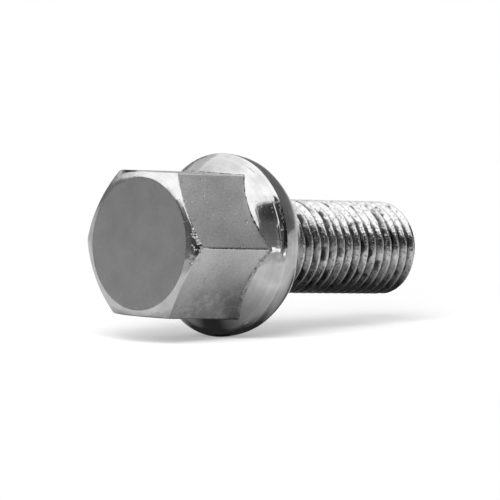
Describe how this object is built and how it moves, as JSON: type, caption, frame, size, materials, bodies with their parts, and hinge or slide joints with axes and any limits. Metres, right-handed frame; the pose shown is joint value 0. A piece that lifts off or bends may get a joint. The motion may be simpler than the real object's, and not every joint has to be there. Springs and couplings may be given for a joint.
{
  "type": "wheel bolt",
  "caption": "Hexagon-headed wheel bolt with a domed collar, a ball seat behind the collar and a metric thread with a chamfered tip.",
  "frame": {"origin": "centre of the flat end face of the head, on which the bolt stands", "axes": "+Z along the bolt's axis from the head to the tip of the thread; two flats of the hexagon face +Y and -Y, and two of its corners point to +X and -X"},
  "size_m": [0.023, 0.023, 0.0465],
  "materials": {
    "plated_steel": "bright zinc plating, satin on the head and glossy on the collar and thread"
  },
  "bodies": {
    "root": {"wheel_bolt": "plated_steel"}
  },
  "joints": []
}
